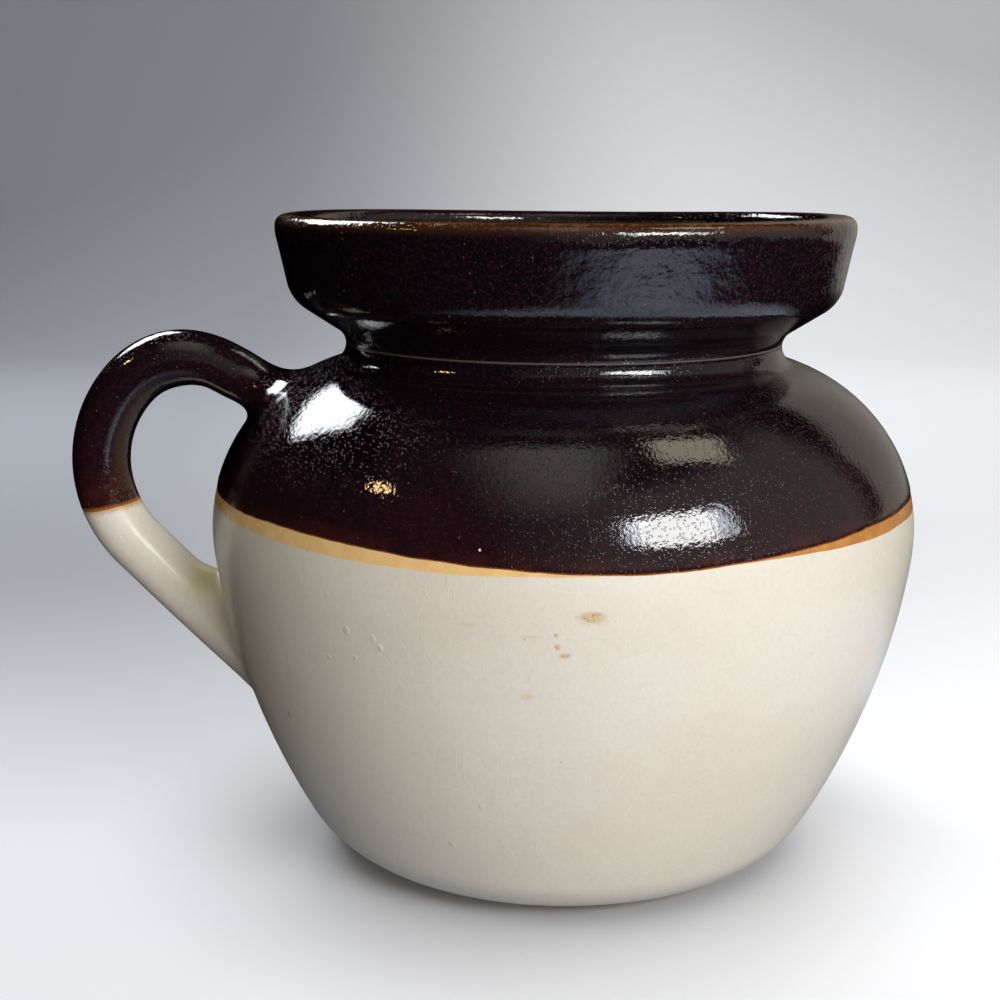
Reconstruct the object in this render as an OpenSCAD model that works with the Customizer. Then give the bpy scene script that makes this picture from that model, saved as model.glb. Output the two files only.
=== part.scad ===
// Two-tone stoneware bean pot without its lid.
// A thrown body carries a flared collar with a gallery for a lid. One pulled handle is
// luted on at the shoulder and low on the side. Dark glaze covers the upper half, cream
// glaze the lower half, and a thin ochre band lies where the two run together.
// Millimetres, +Z up, origin at the centre of the foot, handle on the -X side.
// Outside sizes are taken over the glaze.

/* [Body] */
// Widest diameter of the pot
belly_d = 184; // [174:1:194]
// Height of the widest point above the table
belly_z = 86.5; // [80:0.5:94]
// Radius of the shoulder, from the widest point up to the neck
shoulder_r = 44.5; // [40:0.5:50]
// Radius of the long lower side
side_r = 194; // [170:1:240]
// Radius of the heel between the side and the foot
heel_r = 26; // [20:1:32]
// Diameter of the flat foot
foot_d = 93; // [84:1:102]
// Thickness of the clay wall and floor
wall = 7; // [5:0.5:8]

/* [Collar] */
// Diameter of the neck at its waist
neck_d = 113; // [105:1:121]
// Radius of the hollow of the neck
neck_r = 5; // [4:0.5:6.5]
// Radius of the collar's lower corner
collar_corner_r = 9.5; // [7:0.5:10.5]
// Height of the lower corner's centre above the neck's waist
collar_corner_up = 17.5; // [17:0.5:20]
// Height of the rim above the neck's waist
rim_up = 32.5; // [30:0.5:36]
// Diameter of the lid seat inside the rim
seat_d = 131; // [128:1:133]
// Width of the lip, from the lid seat out to the rim
lip_w = 8.5; // [7:0.5:10]
// Step between the lid seat and the glaze that ends above it
seat_clear = 0.3; // [0.2:0.1:0.8]
// How far the rim stands out past the collar's lower corner
collar_flare = 2.5; // [1:0.5:4]
// Depth of the lid seat below the rim
seat_depth = 16; // [13:0.5:17]
// Width of the ledge that the lid would rest on
ledge_w = 7; // [5:0.5:9]

/* [Handle] */
// Thickness of the handle, seen from the side
handle_d = 15; // [12:0.5:17]
// Width of the handle, seen from its back
handle_w = 17; // [14:0.5:22]
// How far the handle stands out past the belly
handle_out = 37.8; // [34:0.2:46]
// Height of the handle's top above the widest point of the pot
handle_top_up = 50.5; // [46:0.5:54]
// Centreline radius of the handle's upper bend
upper_bend_r = 20.5; // [17:0.5:24]
// Centreline radius of the handle's long outer bend
outer_bend_r = 31.5; // [28:0.5:36]
// Direction in which the two bends meet, in degrees above level
bend_join = 44; // [36:1:52]
// Slope of the upper root into the shoulder, in degrees
upper_slope = 30; // [24:1:36]
// Slope of the lower root into the side, in degrees
lower_slope = 46; // [40:1:52]

/* [Luting] */
// Length of the luting clay along the upper root
upper_luting_l = 9; // [7:0.5:11]
// How far the luting clay spreads above and below the upper root
upper_rise = 2; // [1:0.5:4]
// How far the luting clay spreads to each side of the upper root
upper_fan = 9; // [5:0.5:12]
// Length of the luting clay along the lower root
lower_luting_l = 22; // [16:1:25]
// How far the luting clay spreads above and below the lower root
lower_rise = 2.5; // [1:0.5:5]
// How far the luting clay spreads to each side of the lower root
lower_fan = 4; // [2:0.5:7]
// Thickness of the luting clay at its edge
luting_edge = 0.3; // [0.2:0.1:0.6]

/* [Glaze] */
// Thickness of each glaze coat
glaze_t = 0.5; // [0.3:0.1:0.8]
// Height of the dark glaze's lower edge above the widest point of the pot
dark_up = 9.5; // [6:0.5:14]
// Height of the ochre band below that edge
band_h = 2; // [1:0.5:4]
// Height of the dark glaze's lower edge on the handle above the widest point of the pot
handle_dark_up = 4; // [0:0.5:10]
// Height of the bare clay above the table
dry_foot_h = 3; // [2:0.5:6]

/* [Hidden] */
$fn = 96;

dark_colour = [0.10, 0.06, 0.07];
ochre_colour = [0.72, 0.48, 0.24];
cream_colour = [0.91, 0.88, 0.80];
clay_colour = [0.80, 0.70, 0.55];

// Depths below the glazed surface: the clay's outside, its inside and the liner on it
clay_in = glaze_t;
inside_in = clay_in + wall;
liner_in = inside_in + glaze_t;

// Degrees of an arc between two of its points
arc_step = 6;

// Vector helpers in the plane of the outline
function along(angle) = [cos(angle), sin(angle)];
function heading(v) = atan2(v.y, v.x);
function back(points) = [for (i = [len(points) - 1:-1:0]) points[i]];
function tail(points) = [for (i = [1:len(points) - 1]) points[i]];

// Points of an arc about a centre, between two directions
function arc(centre, radius, from, to) =
    let (steps = max(1, ceil(abs(to - from) / arc_step)))
    [for (i = [0:steps]) centre + radius * along(from + (to - from) * i / steps)];

// The point left of the way from p to q that lies at two given distances from them
function apex(p, p_far, q, q_far) =
    let (
        gap = norm(q - p),
        way = (q - p) / gap,
        run = (p_far ^ 2 - q_far ^ 2 + gap ^ 2) / (2 * gap),
        rise = sqrt(p_far ^ 2 - run ^ 2)
    )
    p + run * way + rise * [-way.y, way.x];

// How far a ray from a point runs before it meets a circle
function reach(point, direction, centre, radius) =
    let (off = point - centre, b = off * direction)
    -b - sqrt(b ^ 2 - off * off + radius ^ 2);

// Centres of the arcs that make up the glazed outline, as [distance from axis, height]
heel_c = [foot_d / 2, heel_r - glaze_t];
shoulder_c = [belly_d / 2 - shoulder_r, belly_z];
side_c = apex(heel_c, side_r - heel_r, shoulder_c, side_r - shoulder_r);
neck_out = neck_d / 2 + neck_r;
neck_c = [neck_out, belly_z + sqrt((shoulder_r + neck_r) ^ 2 - (neck_out - shoulder_c.x) ^ 2)];
waist_z = neck_c.y;
rim_z = waist_z + rim_up;
lip_r = (lip_w - seat_clear) / 2;
lip_c = [seat_d / 2 + lip_w - lip_r, rim_z - lip_r];
corner_out = seat_d / 2 + lip_w - collar_flare;
corner_c = [corner_out - collar_corner_r, waist_z + collar_corner_up];

// Directions that the outline faces where one arc hands over to the next
heel_side = heading(heel_c - side_c);
side_shoulder = heading(shoulder_c - side_c);
shoulder_neck = heading(neck_c - shoulder_c);
underside = heading(corner_c - neck_c)
    - acos(-(neck_r + collar_corner_r) / norm(corner_c - neck_c));
collar_wall = heading(lip_c - corner_c)
    - acos((collar_corner_r - lip_r) / norm(lip_c - corner_c));

// Directions where the glaze coats start and stop
dry_edge = asin((dry_foot_h - heel_c.y) / heel_r);
dark_edge = asin(dark_up / shoulder_r);
band_edge = asin((dark_up - band_h) / shoulder_r);

// Stretches of the outline, drawn some depth below the glazed surface
function foot_level(depth) = heel_c.y - heel_r + depth;
function heel_line(depth, from) = arc(heel_c, heel_r - depth, from, heel_side);
function side_line(depth) = arc(side_c, side_r - depth, heel_side, side_shoulder);
function shoulder_line(depth, from, to) = arc(shoulder_c, shoulder_r - depth, from, to);
function neck_line(depth, from, to) = arc(neck_c, neck_r + depth, from + 180, to + 180);
function collar_line(depth) = concat(
    arc(corner_c, collar_corner_r - depth, underside, collar_wall),
    arc(lip_c, lip_r - depth, collar_wall, 180));
function belly_line(depth, from) = concat(
    heel_line(depth, from), side_line(depth), shoulder_line(depth, side_shoulder, shoulder_neck));

// The slope inside the collar, under the ledge
ledge_r = seat_d / 2 - ledge_w;
ledge_z = rim_z - seat_depth;
function slope_at(depth) =
    let (foot = neck_c - (neck_r + depth) * along(underside))
    [ledge_r, foot.y - (ledge_r - foot.x) / tan(underside)];

module turned(points) {
    rotate_extrude() polygon(points);
}

// The pot as one filled form, some depth below the glazed surface
module filled_pot(depth) {
    turned(concat(
        [[0, foot_level(depth)]],
        belly_line(depth, -90),
        neck_line(depth, shoulder_neck, underside),
        collar_line(depth),
        [[0, lip_c.y]]));
}

module body() {
    color(clay_colour) turned(concat(
        [[0, 0]],
        belly_line(clay_in, -90),
        neck_line(clay_in, shoulder_neck, 0),
        back(neck_line(inside_in, shoulder_neck, 0)),
        back(belly_line(inside_in, -90)),
        [[0, wall]]));
}

module collar() {
    color(clay_colour) turned(concat(
        neck_line(clay_in, 0, underside),
        collar_line(clay_in),
        [[seat_d / 2, lip_c.y], [seat_d / 2, ledge_z], [ledge_r, ledge_z], slope_at(inside_in)],
        back(neck_line(inside_in, 0, underside))));
}

// A coat of glaze over a stretch of outline, from one depth to another
module coat(outer, inner) {
    turned(concat(outer, back(inner)));
}

module dark_glaze() {
    function stretch(depth) = concat(
        shoulder_line(depth, dark_edge, shoulder_neck),
        neck_line(depth, shoulder_neck, underside),
        collar_line(depth));
    color(dark_colour) difference() {
        coat(stretch(0), stretch(clay_in));
        swept(upper_luting_sections(0));
    }
}

module ochre_band() {
    function stretch(depth) = shoulder_line(depth, band_edge, dark_edge);
    color(ochre_colour) coat(stretch(0), stretch(clay_in));
}

module cream_glaze() {
    function stretch(depth) = concat(
        heel_line(depth, dry_edge), side_line(depth),
        shoulder_line(depth, side_shoulder, band_edge));
    color(cream_colour) difference() {
        coat(stretch(0), stretch(clay_in));
        swept(lower_luting_sections(0));
    }
}

module liner_glaze() {
    function stretch(depth) = concat(
        [[0, foot_level(depth)]],
        belly_line(depth, -90),
        neck_line(depth, shoulder_neck, underside),
        [slope_at(depth)]);
    color(dark_colour) coat(stretch(inside_in), stretch(liner_in));
}

// The handle's centreline lies in the plane through the pot's axis, with distance from
// the axis to the left and height upwards
handle_half = [handle_d / 2, handle_w / 2];
handle_clay_half = handle_half - [glaze_t, glaze_t];
outer_c = [
    belly_d / 2 + handle_out - handle_half.x - outer_bend_r,
    belly_z + handle_top_up - handle_half.x - upper_bend_r
        - (outer_bend_r - upper_bend_r) * sin(bend_join)
];
upper_c = outer_c + (outer_bend_r - upper_bend_r) * along(bend_join);
upper_turn = 90 + upper_slope;
lower_turn = lower_slope - 90;
glaze_turn = asin((belly_z + handle_dark_up - outer_c.y) / outer_bend_r);

// Where each straight root starts, which way it runs and how far it is from the clay
upper_start = upper_c + upper_bend_r * along(upper_turn);
lower_start = outer_c + outer_bend_r * along(lower_turn);
upper_way = 180 + upper_slope;
lower_way = 180 + lower_slope;
upper_reach = reach(upper_start, along(upper_way), shoulder_c, shoulder_r - clay_in);
lower_reach = reach(lower_start, along(lower_way), side_c, side_r - clay_in);
upper_spread = [upper_rise, upper_fan];
lower_spread = [lower_rise, lower_fan];
root_bury = 1.5 * handle_d;

// Counts and steps for the swept forms
sides = 24;
bend_step = 8;
luting_steps = 6;

// Cross-sections along the handle, each as [centre, direction of its back, half sizes]
function bend_sections(centre, radius, from, to, half) =
    let (steps = ceil(abs(to - from) / bend_step))
    [for (i = [0:steps])
        let (turn = from + (to - from) * i / steps)
        [centre + radius * along(turn), turn, half]];
function upper_section(distance, half) =
    [upper_start + distance * along(upper_way), upper_turn, half];
function lower_section(distance, half) =
    [lower_start + distance * along(lower_way), lower_turn, half];

// Share of the luting clay's spread at each of its steps, easing in and out
luting_share = [for (i = [0:luting_steps]) i / luting_steps];
function luting_half(share, spread, over) =
    let (eased = (1 - cos(180 * share)) / 2, edge = [luting_edge, luting_edge])
    handle_clay_half + edge + eased * (spread - edge) + [over, over];
function upper_luting_sections(over) = concat(
    [upper_section(upper_reach + root_bury, luting_half(1, upper_spread, over))],
    [for (share = back(luting_share))
        upper_section(upper_reach - upper_luting_l * (1 - share), luting_half(share, upper_spread, over))]);
function lower_luting_sections(over) = concat(
    [for (share = luting_share)
        lower_section(lower_reach - lower_luting_l * (1 - share), luting_half(share, lower_spread, over))],
    [lower_section(lower_reach + root_bury, luting_half(1, lower_spread, over))]);
function sized(sections, half) = [for (s = sections) [s[0], s[1], half]];

// The free arm of the handle, down to the edge of its dark glaze and on from there
function upper_arm(half) = concat(
    bend_sections(upper_c, upper_bend_r, upper_turn, bend_join, half),
    tail(bend_sections(outer_c, outer_bend_r, bend_join, glaze_turn, half)));
function lower_arm(half) = bend_sections(outer_c, outer_bend_r, glaze_turn, lower_turn, half);

function ring(section) = [
    for (k = [0:sides - 1])
        let (
            around = 360 * k / sides,
            spot = section[0] + section[2].x * cos(around) * along(section[1])
        )
        [spot.x, spot.y, section[2].y * sin(around)]];

// Two triangles for each patch between ring i and the next, seen from the outside
function skin(i, k) =
    let (a = i * sides + k, b = i * sides + (k + 1) % sides)
    [[a, a + sides, b + sides], [a, b + sides, b]];

module in_handle_plane() {
    rotate([90, 0, 180]) children();
}

// A solid swept through cross-sections, from the upper root towards the lower one
module swept(sections) {
    points = [for (section = sections) each ring(section)];
    last = (len(sections) - 1) * sides;
    faces = concat(
        [for (i = [0:len(sections) - 2], k = [0:sides - 1]) each skin(i, k)],
        [[for (k = [0:sides - 1]) k], [for (k = [sides - 1:-1:0]) last + k]]);
    in_handle_plane() polyhedron(points, faces);
}

// A hollow sweep between outer and inner cross-sections
module swept_ring(outer, inner) {
    points = [for (section = concat(outer, inner)) each ring(section)];
    span = len(outer) * sides;
    last = span - sides;
    walls = [for (i = [0:len(outer) - 2], k = [0:sides - 1]) each skin(i, k)];
    hole = [for (wall_face = walls) [for (p = back(wall_face)) p + span]];
    ends = [for (k = [0:sides - 1])
        let (m = (k + 1) % sides)
        each [
            [k, m, m + span], [k, m + span, k + span],
            [last + m, last + k, last + k + span], [last + m, last + k + span, last + m + span]
        ]];
    in_handle_plane() polyhedron(points, concat(walls, hole, ends));
}

module handle() {
    color(clay_colour) difference() {
        swept(concat(
            [upper_section(upper_reach + root_bury, handle_clay_half)],
            upper_arm(handle_clay_half),
            tail(lower_arm(handle_clay_half)),
            [lower_section(lower_reach + root_bury, handle_clay_half)]));
        filled_pot(clay_in);
    }
}

module upper_luting() {
    color(clay_colour) difference() {
        swept_ring(upper_luting_sections(0), sized(upper_luting_sections(0), handle_clay_half));
        filled_pot(clay_in);
    }
}

module lower_luting() {
    color(clay_colour) difference() {
        swept_ring(lower_luting_sections(0), sized(lower_luting_sections(0), handle_clay_half));
        filled_pot(clay_in);
    }
}

module dark_glaze_handle() {
    function stretch(half, over) = concat(
        upper_luting_sections(over),
        [upper_section(upper_reach - upper_luting_l, half)],
        upper_arm(half));
    color(dark_colour) difference() {
        swept_ring(stretch(handle_half, glaze_t), stretch(handle_clay_half, 0));
        filled_pot(0);
    }
}

module cream_glaze_handle() {
    function stretch(half, over) = concat(
        lower_arm(half),
        [lower_section(lower_reach - lower_luting_l, half)],
        lower_luting_sections(over));
    color(cream_colour) difference() {
        swept_ring(stretch(handle_half, glaze_t), stretch(handle_clay_half, 0));
        filled_pot(0);
    }
}

body();
collar();
handle();
upper_luting();
lower_luting();
dark_glaze();
ochre_band();
cream_glaze();
liner_glaze();
dark_glaze_handle();
cream_glaze_handle();
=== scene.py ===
# %% [markdown]
# # A two-tone stoneware bean pot
# This lesson dresses a construction model of a bean pot. The real pot is thrown clay with a
# pulled handle, dipped in a cream glaze below and a brown-black glaze above. The construction
# model fixes every size, and the cells below build finer surfaces in the same places.

# %% Load the construction model
from math import acos, asin, atan2, cos, pi, radians, sin, sqrt, tan

import bpy
import numpy as np
from mathutils import Matrix, Quaternion, Vector, noise


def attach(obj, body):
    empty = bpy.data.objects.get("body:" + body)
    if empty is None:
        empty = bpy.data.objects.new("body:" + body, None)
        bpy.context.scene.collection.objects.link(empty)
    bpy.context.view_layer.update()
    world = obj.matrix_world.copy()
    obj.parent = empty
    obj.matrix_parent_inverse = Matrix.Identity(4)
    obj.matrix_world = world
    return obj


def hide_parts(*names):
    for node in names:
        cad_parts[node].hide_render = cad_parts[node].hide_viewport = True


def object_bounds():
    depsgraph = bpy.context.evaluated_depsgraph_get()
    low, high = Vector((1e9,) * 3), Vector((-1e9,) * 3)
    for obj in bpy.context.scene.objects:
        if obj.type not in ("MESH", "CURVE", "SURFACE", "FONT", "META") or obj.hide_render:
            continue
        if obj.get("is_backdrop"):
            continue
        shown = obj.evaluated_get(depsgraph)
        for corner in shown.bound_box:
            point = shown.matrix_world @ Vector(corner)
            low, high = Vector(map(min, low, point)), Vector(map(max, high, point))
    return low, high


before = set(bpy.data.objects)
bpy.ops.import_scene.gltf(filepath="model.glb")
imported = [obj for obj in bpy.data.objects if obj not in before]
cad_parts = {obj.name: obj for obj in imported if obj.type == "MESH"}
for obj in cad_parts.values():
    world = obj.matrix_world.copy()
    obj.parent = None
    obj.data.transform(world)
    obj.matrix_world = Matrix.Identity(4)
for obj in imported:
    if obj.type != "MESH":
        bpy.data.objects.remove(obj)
cad_low, cad_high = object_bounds()
scene = bpy.context.scene
MM = 0.001
print("solids:", ", ".join(sorted(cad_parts)))

# %% [markdown]
# ## Camera
# The pot was photographed from a little above its rim with a short telephoto view. The camera
# is made first, so that every later step can be judged in the right view. Its place, its aim
# and its focal length are named values.

# %% Make the camera
camera_place = Vector((-24.4, -399.3, 175.7)) * MM
camera_turn = radians(1.16)
camera_dip = radians(11.94)
camera_roll = radians(0.26)
focal_in_frames = 1.519
sensor_width = 36.0

view_way = Vector((
    sin(camera_turn) * cos(camera_dip),
    cos(camera_turn) * cos(camera_dip),
    -sin(camera_dip)))
camera_data = bpy.data.cameras.new("camera")
camera_data.sensor_width = sensor_width
camera_data.lens = sensor_width * focal_in_frames
camera_data.clip_start = 0.01
camera = bpy.data.objects.new("camera", camera_data)
scene.collection.objects.link(camera)
camera.matrix_world = (
    Matrix.Translation(camera_place)
    @ view_way.to_track_quat("-Z", "Y").to_matrix().to_4x4()
    @ Matrix.Rotation(camera_roll, 4, "Z"))
scene.camera = camera
print("camera lens", round(camera_data.lens, 1), "mm")

# %% [markdown]
# ## The pot's outline
# A thrown pot is an outline turned round an axis. This outline is a chain of arcs that run
# smoothly into each other: heel, long side, shoulder, the hollow of the neck, the collar's
# corner and the lip. Six arcs say the shape better than a long list of points, and any depth
# below the surface is the same chain with other radii.

# %% Sizes of the pot, in millimetres
belly_radius = 92.0
belly_z = 86.5
shoulder_radius = 44.5
side_radius = 194.0
heel_radius = 26.0
foot_radius = 46.5
wall = 7.0
neck_waist = 56.5
neck_radius = 5.0
collar_corner_radius = 9.5
collar_corner_up = 17.5
rim_up = 32.5
seat_radius = 65.5
lip_width = 8.5
seat_clear = 0.3
collar_flare = 2.5
seat_depth = 16.0
ledge_width = 7.0
glaze = 0.5
dry_foot = 3.0


def along(angle):
    return np.array([cos(angle), sin(angle)])


def heading(v):
    return atan2(v[1], v[0])


def apex(p, p_far, q, q_far):
    """The point left of the way from p to q, at the given distances from both."""
    gap = np.linalg.norm(q - p)
    way = (q - p) / gap
    run = (p_far**2 - q_far**2 + gap**2) / (2 * gap)
    return p + run * way + sqrt(p_far**2 - run**2) * np.array([-way[1], way[0]])


# %% Centres of the arcs, as distance from the axis and height
heel_c = np.array([foot_radius, heel_radius - glaze])
shoulder_c = np.array([belly_radius - shoulder_radius, belly_z])
side_c = apex(heel_c, side_radius - heel_radius, shoulder_c, side_radius - shoulder_radius)
neck_out = neck_waist + neck_radius
waist_z = belly_z + sqrt((shoulder_radius + neck_radius)**2 - (neck_out - shoulder_c[0])**2)
neck_c = np.array([neck_out, waist_z])
rim_out = seat_radius + lip_width
corner_c = np.array([rim_out - collar_flare - collar_corner_radius, waist_z + collar_corner_up])
lip_radius = (lip_width - seat_clear) / 2
rim_z = waist_z + rim_up
lip_c = np.array([rim_out - lip_radius, rim_z - lip_radius])
ledge_z = rim_z - seat_depth
ledge_in = seat_radius - ledge_width

heel_side = heading(heel_c - side_c)
side_shoulder = heading(shoulder_c - side_c)
shoulder_neck = heading(neck_c - shoulder_c)
underside = heading(corner_c - neck_c) - acos(
    -(neck_radius + collar_corner_radius) / np.linalg.norm(corner_c - neck_c))
collar_wall = heading(lip_c - corner_c) - acos(
    (collar_corner_radius - lip_radius) / np.linalg.norm(lip_c - corner_c))
print("rim at", round(rim_z, 2), "mm, waist at", round(waist_z, 2), "mm")


# %% [markdown]
# Each stretch is sampled finely together with the direction that it faces, so that a surface can
# later be pushed in or out by a hair along that direction. Lengths along the outline start at
# the edge of the dry foot.

# %% Sample the outline
def arc(centre, radius, start, end, hollow=False, step=0.1):
    """Points of an arc and the directions that the surface faces there."""
    count = max(2, int(abs(end - start) * abs(radius) / step))
    facing = np.linspace(start, end, count)
    out = np.stack([np.cos(facing), np.sin(facing)], 1)
    return centre + (-radius if hollow else radius) * out, out


def outline(depth, *stretches):
    """Joined arcs, some depth under the glazed surface, as points and facing directions."""
    arcs = {
        "foot": lambda: arc(heel_c, heel_radius - depth, -pi / 2, heel_side),
        "heel": lambda: arc(heel_c, heel_radius - depth, dry_edge, heel_side),
        "side": lambda: arc(side_c, side_radius - depth, heel_side, side_shoulder),
        "shoulder": lambda: arc(shoulder_c, shoulder_radius - depth, side_shoulder, shoulder_neck),
        "neck": lambda: arc(neck_c, neck_radius + depth, shoulder_neck, underside, True),
        "lower_neck": lambda: arc(neck_c, neck_radius + depth, shoulder_neck, 0, True),
        "upper_neck": lambda: arc(neck_c, neck_radius + depth, 0, underside, True),
        "corner": lambda: arc(corner_c, collar_corner_radius - depth, underside, collar_wall),
        "lip": lambda: arc(lip_c, lip_radius - depth, collar_wall, pi),
    }
    parts = [arcs[name]() for name in stretches]
    return np.concatenate([p for p, _ in parts]), np.concatenate([f for _, f in parts])


dry_edge = asin((dry_foot - heel_c[1]) / heel_radius)
outside = outline(0, "heel", "side", "shoulder", "neck", "corner", "lip")
outside_run = np.concatenate([[0], np.cumsum(np.linalg.norm(np.diff(outside[0], axis=0), axis=1))])
outside_length = outside_run[-1]


def on_outside(run):
    """Points and facing directions at given lengths along the outside."""
    at = [np.interp(run, outside_run, column) for column in (*outside[0].T, *outside[1].T)]
    return np.stack(at[:2], -1), np.stack(at[2:], -1)


collar_z = 140.0
below_collar = outside[0][:, 1] < collar_z


def run_at_height(z):
    """Length along the outside at a height below the collar."""
    return np.interp(z, outside[0][below_collar, 1], outside_run[below_collar])


print("outline from dry foot to lip", round(outside_length, 1), "mm")

# %% [markdown]
# ## The hand of the potter
# A wheel-thrown pot is never a perfect turning. The belly is a little oval, fingers leave faint
# rings, the collar was pressed out by hand and its lip dips and rises by less than a millimetre.
# These offsets depend only on the angle and the height, so clay and glaze move together.

# %% Offsets from a perfect turning
oval = 0.25
finger_ring = 0.012
finger_pitch = 7.0
wall_lump = 0.16
wall_lump_size = 26
collar_lump = 0.28
collar_lump_size = 17
rim_dip = 0.35
noise_radius = 80
seed_step = 7.3


def lumps(angle, height, size, seed):
    """Smooth seeded noise on the pot's wall, between about -1 and 1."""
    at = np.broadcast_arrays(angle, height)
    flat = zip(at[0].ravel(), at[1].ravel())
    ring = noise_radius / size
    values = [
        noise.noise(Vector((ring * cos(a), ring * sin(a), h / size + seed_step * seed)))
        for a, h in flat]
    return np.array(values).reshape(at[0].shape)


def smooth(low, high, value):
    share = np.clip((value - low) / (high - low), 0, 1)
    return share * share * (3 - 2 * share)


def hand_offset(angle, height):
    """How far the wall stands out from a perfect turning, in millimetres."""
    rings = np.sin(2 * pi * height / finger_pitch + angle)
    low_part = 1 - smooth(60, 110, height)
    collar_part = smooth(waist_z + 4, waist_z + 14, height)
    wide = oval * np.sin(2 * angle + 0.7) + 0.4 * oval * np.sin(3 * angle + 2.1)
    return (
        wide * smooth(0, 40, height) * (1 - 0.6 * collar_part)
        + finger_ring * rings * low_part
        + wall_lump * lumps(angle, height, wall_lump_size, 1)
        + collar_lump * collar_part * lumps(angle, height, collar_lump_size, 2))


def rim_offset(angle, height):
    """How far the lip rises or dips, in millimetres."""
    share = smooth(waist_z, rim_z, height)
    return rim_dip * share * (np.sin(2 * angle + 1.9) + 0.5 * np.sin(3 * angle + 0.4))


def turn(angle, radius, height):
    """Points in metres on the hand-made pot, for outline points at given angles."""
    out = radius + hand_offset(angle, height)
    up = height + rim_offset(angle, height)
    return np.stack([out * np.cos(angle), out * np.sin(angle), up], -1) * MM


print("belly oval by", oval, "mm, lip waves by", rim_dip, "mm")


# %% [markdown]
# ## Skins from rings
# Every piece of this pot is a row of rings joined by quads, and only the ends differ: a coat of
# glaze is a loop of rings that closes on itself, and a solid ends in a point on the axis. One
# helper makes them all. Numbers that a finish needs later, such as the distance from the edge of
# the glaze, are stored on the points as attributes.

# %% Build a mesh from rings
crease = radians(50)


def ring_mesh(name, rings, attributes=None, tip=None, end=None, loop=False):
    """A closed mesh through rings of points. tip and end are points on the axis."""
    rings = [np.asarray(r) for r in rings]
    around = len(rings[0])
    points = np.concatenate(rings)
    lines = len(rings) if loop else len(rings) - 1
    k = np.arange(around)
    quads = []
    for i in range(lines):
        a = i * around
        b = ((i + 1) % len(rings)) * around
        quads.append(np.stack([a + k, a + (k + 1) % around, b + (k + 1) % around, b + k], 1))
    faces = np.concatenate(quads).tolist()
    for pole, row, flip in ((tip, 0, True), (end, len(rings) - 1, False)):
        if pole is None:
            continue
        top = len(points)
        points = np.concatenate([points, [pole]])
        a = row * around + k
        b = row * around + (k + 1) % around
        faces += [[top, y, x] if flip else [top, x, y] for x, y in zip(a.tolist(), b.tolist())]
    mesh = bpy.data.meshes.new(name)
    mesh.from_pydata(points.tolist(), [], faces)
    for key, values in (attributes or {}).items():
        flat = np.zeros(len(points), np.float32)
        flat[:len(rings) * around] = np.concatenate([np.broadcast_to(v, around) for v in values])
        mesh.attributes.new(key, "FLOAT", "POINT").data.foreach_set("value", flat)
    mesh.validate()
    mesh.shade_smooth()
    mesh.set_sharp_from_angle(angle=crease)
    piece = bpy.data.objects.new(name, mesh)
    scene.collection.objects.link(piece)
    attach(piece, "root")
    return piece


def dress(piece, slot, material, *nodes):
    """Gives a piece its finish and says which solids it stands for."""
    piece.data.materials.append(material)
    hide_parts(*nodes)
    faces = len(piece.data.polygons)
    print(piece.name, "stands for", ", ".join(nodes), "with", faces, "faces")


# %% [markdown]
# ## Where the glazes meet
# The pot was dipped twice. The dark glaze ends in a line that dips at the front, and where it lies
# thin over the cream it turns ochre: a band 2 mm wide on the left that narrows to a thread in
# front. Both lines are a level with a few dips, plus a little wavering. A dip is the bearing of its
# middle, its width, both in degrees, and its depth in millimetres.

# %% Heights of the glaze lines
dark_level = 97.9
dark_dip = 2.9
dark_dip_at = radians(-85)
dark_dip_width = radians(36)
dark_small_dips = ((-84, 13, 0.9), (75, 45, 1.2))
cream_level = 94.9
cream_dips = ((-113, 22, 1.3), (-88, 16, 0.5), (-62, 8, -0.45))
thinnest_band = 0.12


def bell(angle, at, width, power=2):
    """1 at an angle, falling off to both sides over a width."""
    off = (angle - at + pi) % (2 * pi) - pi
    return np.exp(-np.abs(off / width)**power)


def lowered(level, angle, dips):
    for at, width, depth in dips:
        level = level - depth * bell(angle, radians(at), radians(width))
    return level


def dark_line(angle):
    """Height of the dark glaze's lower edge."""
    level = dark_level - dark_dip * bell(angle, dark_dip_at, dark_dip_width, 3)
    level = lowered(level, angle, dark_small_dips)
    return level + 0.22 * lumps(angle, 0, 9, 3) + 0.14 * lumps(angle, 0, 3.5, 4)


def cream_line(angle):
    """Height of the cream glaze's upper edge."""
    level = lowered(cream_level, angle, cream_dips)
    level = level + 0.25 * lumps(angle, 0, 12, 5) + 0.12 * lumps(angle, 0, 4, 6)
    return np.minimum(level, dark_line(angle) - thinnest_band)


for name, at in (("left", radians(-125)), ("front", dark_dip_at)):
    print("band on the", name, (dark_line(at) - cream_line(at)).round(2), "mm high")


# %% [markdown]
# ## Finishes
# Glaze is glass on clay: its colour comes from below and its shine from a smooth surface with
# fine pits. Each finish is one Principled shader. Colours vary by noise in the pot's own space,
# and the stored attributes say where a glaze runs thin. Small helpers keep the node code short.

# %% Helpers for node materials
def new_material(name):
    material = bpy.data.materials.new(name)
    material.use_nodes = True
    tree = material.node_tree
    return material, tree, tree.nodes["Principled BSDF"]


def node(tree, kind, inputs=None, **settings):
    made = tree.nodes.new(kind)
    for key, value in settings.items():
        setattr(made, key, value)
    for key, value in (inputs or {}).items():
        if isinstance(value, bpy.types.NodeSocket):
            tree.links.new(value, made.inputs[key])
        else:
            made.inputs[key].default_value = value
    return made


def place(tree):
    return node(tree, "ShaderNodeTexCoord").outputs["Object"]


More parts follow.
